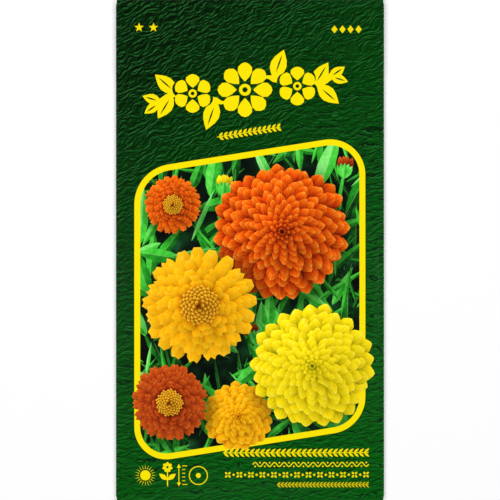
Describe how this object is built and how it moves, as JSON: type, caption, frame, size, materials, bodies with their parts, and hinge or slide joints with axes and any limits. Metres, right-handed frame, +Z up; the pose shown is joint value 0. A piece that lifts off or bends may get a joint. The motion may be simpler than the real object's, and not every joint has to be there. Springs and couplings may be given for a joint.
{
  "type": "seed packet",
  "caption": "Flat folded paper seed packet, closed and full, with a printed front and a glued closure flap, lying on its back with loose seeds inside.",
  "frame": {"origin": "middle of the rectangle that the packet covers, on the surface it lies on", "axes": "+Z up out of the front panel, +Y towards the packet's top edge, +X to the right seen from the front"},
  "size_m": [0.08, 0.15, 0.003],
  "materials": {
    "coated_paper": "printed, satin coated",
    "adhesive": "dried film",
    "seed": "dry husk"
  },
  "bodies": {
    "root": {"packet_sheet": "coated_paper", "side_glue_left": "adhesive", "side_glue_right": "adhesive", "closure_glue": "adhesive", "seed_01": "seed", "seed_02": "seed", "seed_03": "seed", "seed_04": "seed", "seed_05": "seed", "seed_06": "seed", "seed_07": "seed", "seed_08": "seed", "seed_09": "seed", "seed_10": "seed", "seed_11": "seed", "seed_12": "seed", "seed_13": "seed", "seed_14": "seed", "seed_15": "seed", "seed_16": "seed", "seed_17": "seed", "seed_18": "seed", "seed_19": "seed", "seed_20": "seed", "seed_21": "seed", "seed_22": "seed", "seed_23": "seed", "seed_24": "seed", "seed_25": "seed", "seed_26": "seed", "seed_27": "seed", "seed_28": "seed", "seed_29": "seed", "seed_30": "seed", "seed_31": "seed", "seed_32": "seed", "seed_33": "seed", "seed_34": "seed", "seed_35": "seed", "seed_36": "seed", "seed_37": "seed", "seed_38": "seed", "seed_39": "seed", "seed_40": "seed", "seed_41": "seed", "seed_42": "seed", "seed_43": "seed", "seed_44": "seed", "seed_45": "seed", "seed_46": "seed", "seed_47": "seed", "seed_48": "seed"}
  },
  "joints": []
}
